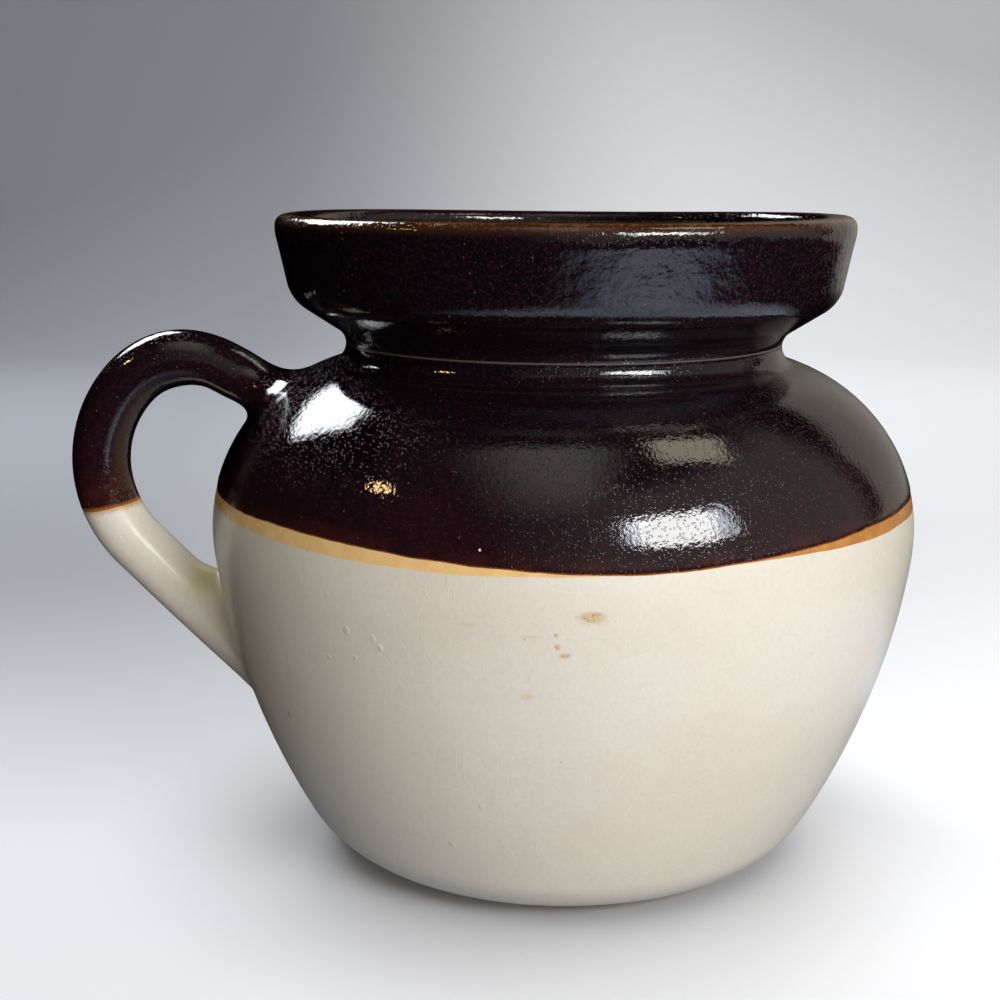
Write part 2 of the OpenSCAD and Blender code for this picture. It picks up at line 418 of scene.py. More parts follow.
def noise_at(tree, scale, detail=3.0, rough=0.55, seed=0.0):
    """Noise between 0 and 1, with its features about 1/scale metres wide."""
    inputs = {
        "Vector": place(tree), "W": seed,
        "Scale": scale, "Detail": detail, "Roughness": rough}
    return node(tree, "ShaderNodeTexNoise", inputs, noise_dimensions="4D").outputs["Fac"]


def ramp(tree, value, low, high, from_value=0.0, to_value=1.0):
    """A smooth step from from_value to to_value as value goes from low to high."""
    inputs = {
        "Value": value, "From Min": low, "From Max": high,
        "To Min": from_value, "To Max": to_value}
    made = node(tree, "ShaderNodeMapRange", inputs, interpolation_type="SMOOTHSTEP")
    return made.outputs["Result"]


def mix(tree, share, a, b):
    """Colour a going over to colour b by share."""
    made = tree.nodes.new("ShaderNodeMix")
    made.data_type = "RGBA"
    for socket, value in zip((made.inputs[0], made.inputs[6], made.inputs[7]), (share, a, b)):
        if isinstance(value, bpy.types.NodeSocket):
            tree.links.new(value, socket)
        else:
            socket.default_value = (*value, 1) if isinstance(value, tuple) else value
    return made.outputs[2]


def calc(tree, operation, a, b=0.5):
    return node(tree, "ShaderNodeMath", {0: a, 1: b}, operation=operation).outputs[0]


def product(tree, *values):
    made = values[0]
    for value in values[1:]:
        made = calc(tree, "MULTIPLY", made, value)
    return made


def vector(tree, operation, a, b=(0, 0, 0)):
    return node(tree, "ShaderNodeVectorMath", {0: a, 1: b}, operation=operation)


def stored(tree, key):
    return node(tree, "ShaderNodeAttribute", attribute_name=key).outputs["Fac"]


def bump(tree, height, distance, below=None):
    inputs = {"Height": height, "Distance": distance}
    if below is not None:
        inputs["Normal"] = below
    return node(tree, "ShaderNodeBump", inputs).outputs["Normal"]


def specks(tree, scale, size, share, seed):
    """1 in small round spots, on a random share of the cells of a 3-D lattice."""
    moved = vector(tree, "ADD", place(tree), (seed, seed, seed))
    cells = node(tree, "ShaderNodeTexVoronoi", {"Vector": moved.outputs[0], "Scale": scale})
    spot = ramp(tree, cells.outputs["Distance"], size * 0.6, size, 1.0, 0.0)
    chance = node(tree, "ShaderNodeSeparateColor", {0: cells.outputs["Color"]}).outputs[0]
    return product(tree, spot, calc(tree, "LESS_THAN", chance, share))


# %% [markdown]
# ### Dark glaze
# It is a brown-black glass with a trace of aubergine. It breaks to red-brown where it thins: just
# above its lower edge and along the crest of the lip. Iron shows as red specks. Grain about as fine
# as the eye can see makes the edges of its reflections ragged, and thick glaze sags into flat lumps
# on the collar. A fine ridge runs round the neck, where the collar was luted on.

# %% Dark glaze
white_fleck = (-104.3, 98.9, 0.0003)


def wall_point(angle_degrees, height):
    """A point on the outside, in metres."""
    angle = radians(angle_degrees)
    radius = on_outside(run_at_height(height))[0][0]
    return Vector((radius * cos(angle), radius * sin(angle), height)) * MM


def blemish(tree, centre, across, flatness, ragged):
    """1 near a point, falling off at a ragged distance. Flatness squeezes it in height."""
    off = vector(tree, "SUBTRACT", place(tree), centre)
    squeeze = (1 / across, 1 / across, flatness / across)
    scaled = vector(tree, "MULTIPLY", off.outputs[0], squeeze)
    gap = vector(tree, "LENGTH", scaled.outputs[0])
    far = calc(tree, "ADD", gap.outputs["Value"], ragged)
    return ramp(tree, far, 0.75, 1.3, 1.0, 0.0)


def on_the_collar(tree, value):
    """A noise value, kept about zero and only above the collar's lower corner."""
    height = node(tree, "ShaderNodeSeparateXYZ", {0: place(tree)}).outputs["Z"]
    share = ramp(tree, height, 0.144, 0.150)
    return product(tree, calc(tree, "SUBTRACT", value, 0.5), share)


def dark_glaze_material(name, deep, thin):
    material, tree, shader = new_material(name)
    above_edge = stored(tree, "above_edge")
    thinner_below = ramp(tree, above_edge, 3.0, 30.0, 0.15, -0.15)
    cloud = calc(tree, "ADD", noise_at(tree, 35, 4.0, 0.6, 1.0), thinner_below)
    colour = mix(tree, ramp(tree, cloud, 0.3, 0.75), deep, thin)
    grain = noise_at(tree, 1300, 2.0, 0.6, 2.0)
    red = product(tree, ramp(tree, grain, 0.48, 0.70), 0.45)
    colour = mix(tree, red, colour, (0.05, 0.012, 0.016))
    iron = specks(tree, 620, 0.13, 0.14, 3.0)
    colour = mix(tree, product(tree, iron, 0.8), colour, (0.25, 0.05, 0.025))
    # Pale specks are painted glints: tiny sparkles of light on the glass.
    painted_glints = specks(tree, 900, 0.16, 0.05, 8.0)
    colour = mix(tree, product(tree, painted_glints, 0.5), colour, (0.30, 0.30, 0.33))

    ragged = product(tree, noise_at(tree, 2200, 3.0, 0.6, 3.0), 0.7)
    above = calc(tree, "ADD", above_edge, ragged)
    patchy = ramp(tree, noise_at(tree, 90, 3.0, 0.6, 9.0), 0.35, 0.65, 0.05, 0.5)
    fade = product(tree, ramp(tree, above, 0.6, 5.0, 1.0, 0.0), patchy)
    colour = mix(tree, fade, colour, (0.085, 0.018, 0.010))
    colour = mix(tree, ramp(tree, above, 0.28, 0.8, 1.0, 0.0), colour, (0.36, 0.12, 0.024))
    angle, height, across = white_fleck
    fleck = blemish(tree, wall_point(angle, height), across, 1.0, 0.0)
    colour = mix(tree, fleck, colour, (0.85, 0.85, 0.87))

    crest = stored(tree, "lip_crest")
    colour = mix(tree, ramp(tree, crest, 0.0, 0.6, 0.0, 0.9), colour, (0.06, 0.02, 0.007))
    fleck_noise = product(tree, noise_at(tree, 750, 2.0, 0.6, 4.0), 0.9)
    missing = ramp(tree, noise_at(tree, 45, 2.0, 0.5, 11.0), 0.40, 0.62, 0.25, 0.0)
    bare = calc(tree, "SUBTRACT", calc(tree, "ADD", crest, fleck_noise), missing)
    worn = ramp(tree, bare, 0.86, 1.15)
    colour = mix(tree, product(tree, worn, 0.85), colour, (0.20, 0.078, 0.022))
    ridge = ramp(tree, stored(tree, "neck_joint"), 0.4, 0.9)
    colour = mix(tree, product(tree, ridge, 0.6), colour, (0.16, 0.13, 0.11))
    tree.links.new(colour, shader.inputs["Base Color"])

    tree.links.new(ramp(tree, noise_at(tree, 60, 3.0, 0.6, 5.0), 0.3, 0.8, 0.025, 0.06),
                   shader.inputs["Roughness"])
    shader.inputs["IOR"].default_value = 1.7
    orange_peel = bump(tree, noise_at(tree, 130, 2.0, 0.5, 6.0), 0.00005)
    sags = bump(tree, on_the_collar(tree, noise_at(tree, 150, 3.0, 0.6, 10.0)), 0.0004, orange_peel)
    ragged_shine = bump(tree, noise_at(tree, 900, 2.0, 0.6, 7.0), 0.00006, sags)
    pits = bump(tree, specks(tree, 1500, 0.38, 0.5, 6.0), 0.00003, ragged_shine)
    tree.links.new(bump(tree, ridge, 0.00008, pits), shader.inputs["Normal"])
    return material


dark_finish = dark_glaze_material("dark_glaze", (0.0042, 0.0026, 0.0044), (0.0135, 0.0045, 0.0075))
liner_finish = dark_glaze_material("liner_glaze", (0.016, 0.0085, 0.006), (0.045, 0.02, 0.011))
print("dark finishes:", dark_finish.name, liner_finish.name)


# %% [markdown]
# ### Cream glaze
# It is a satin cream with a net of fine pale crazing, small raised beads, scattered pinholes and
# tan pits where gas broke through. Crazing is the boundary of a cell pattern, bent by noise so that
# no line is straight. The named spots are the larger blemishes on the front, each with its bearing
# in degrees, its height in millimetres, its size in metres and how flat it is.

# %% Cream glaze
tan_pits = (
    (-89.2, 85.3, 0.0058, 2.2), (-92.7, 76.5, 0.0024, 2.0), (-93.7, 78.5, 0.0014, 1.0),
    (-93.9, 81.2, 0.0010, 1.0))
faint_marks = ((-97.3, 80.8, 0.0044, 7.0), (-105.6, 82.8, 0.0040, 6.0), (-97.8, 66.5, 0.0026, 1.5))
grey_chips = ((-143.4, 49.4, 0.0014, 0.6),)
beads = (
    (-132.8, 86.7, 0.0008, 1.0), (-127.6, 85.4, 0.0008, 1.0), (-124.5, 77.7, 0.0010, 0.8),
    (-120.1, 76.9, 0.0009, 0.8), (-119.0, 74.9, 0.0008, 0.9), (-128.6, 70.2, 0.0008, 1.0),
    (-123.6, 71.2, 0.0008, 1.0), (-128.2, 43.3, 0.0007, 1.0), (-112.4, 23.8, 0.0009, 0.8),
    (-105.7, 36.6, 0.0009, 0.8))


def spots(tree, places, ragged):
    """1 in each of some blemishes."""
    share = None
    for angle, height, across, flatness in places:
        spot = blemish(tree, wall_point(angle, height), across, flatness, ragged)
        share = spot if share is None else calc(tree, "MAXIMUM", share, spot)
    return share


def cream_glaze_material(name):
    material, tree, shader = new_material(name)
    cloud = noise_at(tree, 22, 4.0, 0.55, 11.0)
    colour = mix(tree, ramp(tree, cloud, 0.3, 0.72), (0.80, 0.745, 0.655), (0.77, 0.71, 0.605))
    mottle = noise_at(tree, 140, 3.0, 0.6, 12.0)
    colour = mix(tree, ramp(tree, mottle, 0.5, 0.85, 0.0, 0.3), colour, (0.68, 0.62, 0.52))

    bend = node(tree, "ShaderNodeTexNoise", {"Vector": place(tree), "Scale": 90.0, "Detail": 3.0})
    pushed = vector(tree, "MULTIPLY", bend.outputs["Color"], (0.006, 0.006, 0.006))
    bent = vector(tree, "ADD", place(tree), pushed.outputs[0])
    drawn = vector(tree, "MULTIPLY", bent.outputs[0], (1.0, 1.0, 0.5))
    net = node(tree, "ShaderNodeTexVoronoi", {"Vector": drawn.outputs[0], "Scale": 220.0},
               feature="DISTANCE_TO_EDGE")
    craze = ramp(tree, net.outputs["Distance"], 0.0, 0.03, 1.0, 0.0)
    broken = ramp(tree, noise_at(tree, 45, 2.0, 0.5, 13.0), 0.40, 0.58)
    craze = product(tree, craze, broken)
    colour = mix(tree, product(tree, craze, 0.3), colour, (0.88, 0.84, 0.76))
    stained = ramp(tree, noise_at(tree, 55, 2.0, 0.5, 18.0), 0.62, 0.70, 0.0, 0.5)
    colour = mix(tree, product(tree, craze, stained), colour, (0.60, 0.45, 0.27))

    pinholes = specks(tree, 230, 0.06, 0.07, 7.0)
    colour = mix(tree, product(tree, pinholes, 0.5), colour, (0.30, 0.25, 0.20))
    fine = noise_at(tree, 900, 3.0, 0.65, 14.0)
    colour = mix(tree, ramp(tree, fine, 0.42, 0.68, 0.0, 0.16), colour, (0.58, 0.53, 0.45))
    ragged = product(tree, fine, 1.1)
    scar = spots(tree, tan_pits, ragged)
    colour = mix(tree, product(tree, scar, 0.8), colour, (0.66, 0.47, 0.21))
    marks = spots(tree, faint_marks, ragged)
    colour = mix(tree, product(tree, marks, 0.4), colour, (0.66, 0.50, 0.26))
    burst = product(tree, scar, ramp(tree, fine, 0.50, 0.60))
    colour = mix(tree, product(tree, burst, 0.5), colour, (0.36, 0.26, 0.12))
    chips = spots(tree, grey_chips, ragged)
    colour = mix(tree, product(tree, chips, 0.45), colour, (0.26, 0.27, 0.30))

    # Olive is pooled glaze in the handle's corner and painted shade in the valley below it.
    pool_and_shade = product(tree, stored(tree, "pool_and_shade"), 0.9)
    colour = mix(tree, pool_and_shade, colour, (0.58, 0.52, 0.24))
    stain = calc(tree, "ADD", stored(tree, "stain"), product(tree, fine, 0.5))
    colour = mix(tree, ramp(tree, stain, 0.55, 1.2, 0.0, 0.85), colour, (0.55, 0.30, 0.09))
    tree.links.new(colour, shader.inputs["Base Color"])

    satin = ramp(tree, noise_at(tree, 75, 3.0, 0.6, 15.0), 0.3, 0.75, 0.3, 0.42)
    tree.links.new(satin, shader.inputs["Roughness"])
    shader.inputs["IOR"].default_value = 1.5
    shader.inputs["Coat Weight"].default_value = 0.2
    shader.inputs["Coat Roughness"].default_value = 0.12
    broad = bump(tree, noise_at(tree, 85, 3.0, 0.55, 16.0), 0.00025)
    raised = calc(tree, "MAXIMUM", spots(tree, beads, 0.25), specks(tree, 95, 0.08, 0.08, 9.0))
    knobs = bump(tree, raised, 0.0001, broad)
    holes = calc(tree, "MAXIMUM", calc(tree, "MAXIMUM", burst, chips), pinholes)
    dented = bump(tree, calc(tree, "SUBTRACT", 1.0, holes), 0.00016, knobs)
    lines = bump(tree, craze, 0.00002, dented)
    tree.links.new(bump(tree, noise_at(tree, 1500, 2.0, 0.5, 17.0), 0.00002, lines),
                   shader.inputs["Normal"])
    return material


cream_finish = cream_glaze_material("cream_glaze")
print("cream finish:", cream_finish.name)


# %% [markdown]
# ### Ochre edge and bare clay
# The ochre edge is glossy like the dark glaze but pale, with little dark pits. Bare stoneware shows
# on the foot and in the lid seat: buff, matt and gritty, with iron specks.

# %% Ochre edge and bare clay
def ochre_material(name):
    material, tree, shader = new_material(name)
    cloud = noise_at(tree, 230, 4.0, 0.6, 21.0)
    # The amber is the thin glaze's own colour, lightened to paint the light that the band catches.
    amber_with_painted_light = mix(tree, ramp(tree, cloud, 0.3, 0.7), (0.97, 0.66, 0.30), (0.88, 0.56, 0.22))
    brown = mix(tree, ramp(tree, cloud, 0.3, 0.7), (0.56, 0.25, 0.06), (0.46, 0.18, 0.035))
    colour = mix(tree, stored(tree, "thick"), amber_with_painted_light, brown)
    colour = mix(tree, specks(tree, 330, 0.11, 0.10, 2.0), colour, (0.16, 0.08, 0.04))
    tree.links.new(colour, shader.inputs["Base Color"])
    tree.links.new(ramp(tree, cloud, 0.3, 0.8, 0.18, 0.34), shader.inputs["Roughness"])
    uneven = bump(tree, noise_at(tree, 700, 3.0, 0.6, 22.0), 0.00005)
    tree.links.new(uneven, shader.inputs["Normal"])
    return material


def bare_clay_material(name):
    material, tree, shader = new_material(name)
    cloud = noise_at(tree, 60, 4.0, 0.6, 31.0)
    colour = mix(tree, ramp(tree, cloud, 0.3, 0.7), (0.56, 0.43, 0.27), (0.45, 0.32, 0.18))
    colour = mix(tree, specks(tree, 380, 0.2, 0.16, 4.0), colour, (0.16, 0.09, 0.045))
    tree.links.new(colour, shader.inputs["Base Color"])
    tree.links.new(ramp(tree, cloud, 0.3, 0.8, 0.72, 0.9), shader.inputs["Roughness"])
    grit = bump(tree, noise_at(tree, 1300, 4.0, 0.7, 32.0), 0.00012)
    waves = node(tree, "ShaderNodeTexWave",
                 {"Vector": place(tree), "Scale": 55.0, "Distortion": 6.0, "Detail": 2.0},
                 wave_type="RINGS", rings_direction="Z")
    tree.links.new(bump(tree, waves.outputs["Fac"], 0.00012, grit), shader.inputs["Normal"])
    return material


ochre_finish = ochre_material("ochre_edge")
clay_finish = bare_clay_material("bare_stoneware")
print("other finishes:", ochre_finish.name, clay_finish.name)

# %% [markdown]
# ## Coats of glaze on the pot
# Each coat is a thin closed shell between the glazed surface and the clay half a millimetre below.
# Its rows follow the outline, and near the glaze line they slide up or down with that line, so
# the mesh edge is the real edge of the glaze.

# %% Rows of the coats
around_pot = 512
angles = np.linspace(-pi, pi, around_pot, endpoint=False)
dark_edge_run = run_at_height(dark_line(angles))
cream_edge_run = run_at_height(cream_line(angles))
dark_row_count = 148
cream_row_count = 130
slide_reach = 14
dark_stand = 0.16
edge_round = 1.6


def coat_rings(runs, stand):
    """Rings of a coat at given lengths along the outline, standing proud by some amount."""
    points, facing = on_outside(runs)
    points = points + np.asarray(stand)[..., None] * facing
    return turn(angles, points[..., 0], points[..., 1])


def sliding_rows(start, end, count, reach):
    """Rows from start to end; an end that wavers takes the rows within reach along with it."""
    level_start = np.mean(start)
    level_end = np.mean(end)
    rows = []
    for run in np.linspace(level_start, level_end, count):
        pull_start = 1 - smooth(0, reach, run - level_start)
        pull_end = 1 - smooth(0, reach, level_end - run)
        rows.append(run + pull_start * (start - level_start) + pull_end * (end - level_end))
    return rows


def coat_piece(name, rows, back_rows, attributes, stand):
    """A closed shell over rows of the outline, with the clay side drawn more coarsely."""
    front = [coat_rings(row, stand(row)) for row in rows]
    rear = [coat_rings(row, np.full(around_pot, -glaze)) for row in back_rows]
    values = {key: [f(row) for row in (*rows, *back_rows)] for key, f in attributes.items()}
    return ring_mesh(name, front + rear, values, loop=True)


# %% Dark coat over shoulder, neck and collar
crest_turn = radians(105)
neck_joint_z = 134.6
lip_square = 0.7
lip_crest_run = outside_length - lip_radius * crest_turn
neck_joint_run = run_at_height(neck_joint_z)


def near(at, reach):
    """A share that is 1 on one line round the pot and fades evenly to both sides."""
    return lambda row: np.clip(1 - np.abs(row - at) / reach, 0, 1)


def lip_swell(row):
    """The lip is squarer than a half round: it stands out between its top and its sides."""
    facing = np.clip(pi - (outside_length - row) / lip_radius, 0, pi)
    return lip_square * np.sin(2 * facing)**2


dark_rows = sliding_rows(
    dark_edge_run, np.full(around_pot, outside_length), dark_row_count, slide_reach)
dark_rows += [np.full(around_pot, run) for run in (neck_joint_run, lip_crest_run)]
dark_rows.sort(key=np.mean)
dark_coat = coat_piece(
    "dark_glaze_on_pot", dark_rows, dark_rows[::-5],
    {"above_edge": lambda row: row - dark_edge_run,
     "lip_crest": near(lip_crest_run, 4.6), "neck_joint": near(neck_joint_run, 0.6)},
    lambda row: lip_swell(row) + dark_stand * smooth(0, edge_round, row - dark_edge_run)
    * (1 - smooth(outside_length - 3, outside_length, row)))
dress(dark_coat, "dark_glaze", dark_finish, "dark_glaze")

# %% Ochre edge and cream coat
ochre_rows = sliding_rows(cream_edge_run, dark_edge_run, 6, 0.01)
thick_side = bell(angles, radians(-25), radians(62), 4)
ochre_coat = coat_piece(
    "ochre_edge_on_pot", ochre_rows, ochre_rows[::-1],
    {"thick": lambda row: thick_side}, lambda row: np.zeros(around_pot))
dress(ochre_coat, "ochre_glaze", ochre_finish, "ochre_band")

stain_reach = 1.6
stain_at_line = 0.35
foot_thinning = 0.35
foot_round = 1.2
cream_rows = sliding_rows(
    np.zeros(around_pot), cream_edge_run, cream_row_count, slide_reach)
cream_coat = coat_piece(
    "cream_glaze_on_pot", cream_rows, cream_rows[::-5],
    {"stain": lambda row: stain_at_line * np.clip(1 + (row - cream_edge_run) / stain_reach, 0, 1),
     "pool_and_shade": np.zeros_like},
    lambda row: -foot_thinning * (1 - smooth(0, foot_round, row)))
dress(cream_coat, "cream_glaze", cream_finish, "cream_glaze")

# %% [markdown]
# ## Clay body, collar and liner
# The clay shows only at the dry foot and in the lid seat, but both pieces are made whole, so that
# the pot is right from below and from above. The liner runs from the floor up to the ledge.

# %% Turned solids
inside_depth = glaze + wall
liner_depth = inside_depth + glaze


def thinned(points, gap):
    """Points of an outline about gap apart, with both ends kept."""
    run = np.concatenate([[0], np.cumsum(np.linalg.norm(np.diff(points, axis=0), axis=1))])
    wanted = np.linspace(0, run[-1], max(2, int(run[-1] / gap)))
    return np.stack([np.interp(wanted, run, points[:, 0]), np.interp(wanted, run, points[:, 1])], 1)


def turned_rings(points):
    return [turn(angles, r, z) for r, z in points]


def slope_at(depth):
    """Where the slope inside the neck, some depth down, meets the foot of the ledge."""
    foot = neck_c - (neck_radius + depth) * along(underside)
    return np.array([ledge_in, foot[1] - (ledge_in - foot[0]) / tan(underside)])


belly = ("foot", "side", "shoulder")
body_out = thinned(outline(glaze, *belly, "lower_neck")[0], 2.0)
body_in = thinned(outline(inside_depth, *belly, "lower_neck")[0], 4.0)[::-1]
foot_rings = [[r, 0.0] for r in np.linspace(2, foot_radius - 1, 14)]
floor_rings = [[r, wall] for r in np.linspace(foot_radius - 4, 4, 6)]
body_points = np.concatenate([foot_rings, body_out, body_in, floor_rings])
body = ring_mesh("stoneware_body", turned_rings(body_points), tip=(0, 0, 0), end=(0, 0, wall * MM))
dress(body, "stoneware", clay_finish, "body")

collar_out = thinned(outline(glaze, "upper_neck", "corner", "lip")[0], 1.5)
seat_wall = [[seat_radius, z] for z in np.linspace(lip_c[1], ledge_z + 0.8, 8)]
ledge = [[seat_radius - 0.8, ledge_z], [ledge_in + 0.6, ledge_z], [ledge_in, ledge_z - 0.6]]
collar_in = thinned(outline(inside_depth, "upper_neck")[0], 2.0)[::-1]
collar_points = np.concatenate([collar_out, seat_wall, ledge, [slope_at(inside_depth)], collar_in])
collar = ring_mesh("stoneware_collar", turned_rings(collar_points), loop=True)
dress(collar, "stoneware", clay_finish, "collar")

# %% Liner inside the pot
def liner_side(depth, gap):
    """The liner's side from the floor to the ledge, some depth down."""
    side = outline(depth, *belly, "neck")[0]
    return thinned(np.concatenate([side, [slope_at(depth)]]), gap)


liner_face = liner_side(liner_depth, 1.5)
liner_back = liner_side(inside_depth, 5.0)
liner_floor = [[r, wall + glaze] for r in np.linspace(2, foot_radius - 2, 20)]
liner_loop = np.concatenate([[[4.0, wall]], liner_back, liner_face[::-1], liner_floor[::-1]])
plain = {"above_edge": [100.0] * len(liner_loop)}
liner = ring_mesh("liner_glaze_inside", turned_rings(liner_loop), plain,
                  tip=(0, 0, wall * MM), end=(0, 0, (wall + glaze) * MM))
dress(liner, "dark_glaze", liner_finish, "liner_glaze")

# %% [markdown]
# ## The pulled handle
# A pulled handle is an oval rope of clay, bent in two sweeps and pressed onto the pot, where its
# ends fan out. The free part is rings along a centreline of two arcs. At each root every ring
# point follows a smooth curve from the handle's direction to the pot's surface, which gives
# the soft fillet that a thumb leaves.

# %% Centreline of the handle
handle_half = 7.5
handle_side = 8.5
handle_out = 37.8
handle_top_up = 50.5
upper_bend = 20.5
outer_bend = 31.5
bend_join = radians(44)
upper_slope = radians(28.5)
lower_slope = radians(46)
around_handle = 96

bend_step = outer_bend - upper_bend
outer_c = np.array([
    belly_radius + handle_out - handle_half - outer_bend,
    belly_z + handle_top_up - handle_half - upper_bend - bend_step * sin(bend_join)])
upper_c = outer_c + bend_step * along(bend_join)
upper_turn = pi / 2 + upper_slope
lower_turn = lower_slope - pi / 2
upper_start = upper_c + upper_bend * along(upper_turn)
lower_start = outer_c + outer_bend * along(lower_turn)


def reach(point, way, centre, radius):
    """How far a ray runs before it meets a circle."""
    off = point - centre
    b = off @ way
    return -b - sqrt(b * b - off @ off + radius * radius)


upper_way = along(pi + upper_slope)
lower_way = along(pi + lower_slope)
upper_reach = reach(upper_start, upper_way, shoulder_c, shoulder_radius)
lower_reach = reach(lower_start, lower_way, side_c, side_radius)
print("roots run", round(upper_reach, 1), "and", round(lower_reach, 1), "mm to the pot")

# %% Rings of the handle
ring_turns = np.linspace(0, 2 * pi, around_handle, endpoint=False)
inner_flatness = 0.85


def in_row_frame(u, across, z):
    """Points in metres from distance out, sideways and up, in millimetres."""
    return np.stack(np.broadcast_arrays(-u, across, z), -1) * MM


def handle_oval(inset, swell):
    """Half sizes round the handle: outwards from its bend, and sideways."""
    outwards = np.cos(ring_turns)
    outwards = np.where(outwards < 0, -np.abs(outwards)**inner_flatness, outwards)
    thick = (handle_half + swell - inset) * outwards
    side = (handle_side + 0.6 * swell - inset) * np.sin(ring_turns)
    return thick, side


def bend_ring(centre, radius, angle, inset, swell=0.0):
    """A ring in a bend. The angle may differ round the ring, where an edge runs aslant."""
    thick, side = handle_oval(inset, swell)
    u = centre[0] + (radius + thick) * np.cos(angle)
    z = centre[1] + (radius + thick) * np.sin(angle)
    return in_row_frame(u, side, z)


def straight_ring(start, way, distance, facing, inset, swell=0.0):
    """A ring on the straight stretch before a root."""
    thick, side = handle_oval(inset, swell)
    spot = start + distance * way
    u = spot[0] + thick * cos(facing)
    z = spot[1] + thick * sin(facing)
    return in_row_frame(u, side, z)


# %% Roots of the handle
def hit_run(start, way, distance):
    """Length along the pot's outline at which a root's centre meets it."""
    off = np.linalg.norm(outside[0] - start - way * distance, axis=1)
    return outside_run[np.argmin(off)]


outer_share = (1 + np.cos(ring_turns)) / 2
upper_root = {"run": hit_run(upper_start, upper_way, upper_reach), "back": 1,
              "low": 10.5, "high": 13.0, "side": 23.0, "way": upper_way,
              "leave": np.full(around_handle, 0.35), "land": np.full(around_handle, 0.5)}
lower_root = {"run": hit_run(lower_start, lower_way, lower_reach), "back": -1,
              "low": 14.5, "high": 25.0, "side": 21.0, "way": lower_way,
              "leave": 0.4 + 0.4 * outer_share, "land": 0.5 - 0.44 * outer_share}


def footprint(root, depth, grown):
    """A ring on the pot's surface round the point where a root meets it."""
    lift = root["back"] * np.cos(ring_turns)
    lift = (np.where(lift > 0, root["high"], root["low"]) + grown) * lift
    below, facing = on_outside(root["run"] + lift)
    below = below - depth * facing
    angle = pi - (root["side"] + grown) * np.sin(ring_turns) / below[:, 0]
    return turn(angle, below[:, 0], below[:, 1])


def root_rings(root, ring, depth, inset, count=20):
    """Rings that ease from the handle's last ring onto the pot's surface."""
    mark = footprint(root, depth, -inset)
    outward = footprint(root, depth, 1 - inset) - mark
    outward /= np.linalg.norm(outward, axis=1)[:, None]
    gap = np.linalg.norm(mark - ring, axis=1)[:, None]
    first = ring + in_row_frame(*np.insert(root["way"], 1, 0)) / MM * gap * root["leave"][:, None]
    second = mark - outward * gap * root["land"][:, None]
    rings = []
    for t in np.linspace(0, 1, count)[1:]:
        rings.append(
            ring * (1 - t)**3 + 3 * first * t * (1 - t)**2
            + 3 * second * t * t * (1 - t) + mark * t**3)
    return rings


upper_free = 3.0
lower_free = 12.0
thin_top = 0.65
edge_turn = radians(-20.9)
edge_slant = radians(2.8)
edge_waver = radians(0.35)
handle_dark_turn = (
    edge_turn + edge_slant * np.cos(ring_turns) + edge_waver * np.sin(3 * ring_turns + 1))


def upper_part(inset, depth):
    """Rings from the shoulder over the top of the handle to the edge of its dark glaze."""
    start = straight_ring(upper_start, upper_way, upper_free, upper_turn, inset, -thin_top)
    rings = root_rings(upper_root, start, depth, inset)[::-1]
    rings.append(start)
    for angle in np.linspace(upper_turn, bend_join, 26):
        swell = -thin_top * smooth(radians(75), radians(115), angle)
        rings.append(bend_ring(upper_c, upper_bend, angle, inset, swell))
    for share in np.linspace(0, 1, 26)[1:]:
        angle = bend_join + share * (handle_dark_turn - bend_join)
        rings.append(bend_ring(outer_c, outer_bend, angle, inset))
    return rings


def lower_part(inset, depth):
    """Rings from the edge of the dark glaze down to the pot's side."""
    rings = []
    for share in np.linspace(0, 1, 20):
        angle = handle_dark_turn + share * (lower_turn - handle_dark_turn)
        rings.append(bend_ring(outer_c, outer_bend, angle, inset))
    for run in np.linspace(0, lower_free, 9)[1:]:
        rings.append(straight_ring(lower_start, lower_way, run, lower_turn, inset))
    return rings + root_rings(lower_root, rings[-1], depth, inset, 28)


print("rings of the handle:", len(upper_part(0, 0)), "dark and", len(lower_part(0, 0)), "cream")

# %% Glaze on the handle
surface_depth = 0.05
clay_depth = 0.6


def handle_coat(name, outer, inner, attributes):
    values = {key: [f(r) for r in (*outer, *inner[::-1])] for key, f in attributes.items()}
    return ring_mesh(name, outer + inner[::-1], values, loop=True)


handle_edge_z = 90.4
handle_edge_out = 121.0
handle_edge_slope = 0.17
handle_stain_reach = 3.0
handle_edge_fade = 0.4


def above_handle_edge(ring):
    """Millimetres above the edge of the dark glaze on the handle."""
    out = -ring[:, 0] / MM
    edge = handle_edge_z - handle_edge_slope * (out - handle_edge_out)
    return ring[:, 2] / MM - edge


upper_outer = upper_part(0, surface_depth - dark_stand)
upper_inner = upper_part(glaze, clay_depth)
dark_handle = handle_coat(
    "dark_glaze_on_handle", upper_outer, upper_inner,
    {"above_edge": lambda r: handle_edge_fade * above_handle_edge(r)})
dress(dark_handle, "dark_glaze", dark_finish, "dark_glaze_handle")

pool_centre = in_row_frame(95.0, -4.0, 70.5)
# This centre places painted shade in the crease down the front of the lower root.
valley_shade_centre = in_row_frame(89.5, -13.5, 63.0)


def pool_and_valley_shade(ring):
    """1 in the glaze pool above the lower root; up to 0.5 down its front as painted shade."""
    corner = (ring - pool_centre) / MM / np.array([5.5, 10.0, 4.5])
    valley = (ring - valley_shade_centre) / MM / np.array([4.0, 5.0, 6.5])
    return np.exp(-np.sum(corner**2, axis=1)) + 0.5 * np.exp(-np.sum(valley**2, axis=1))


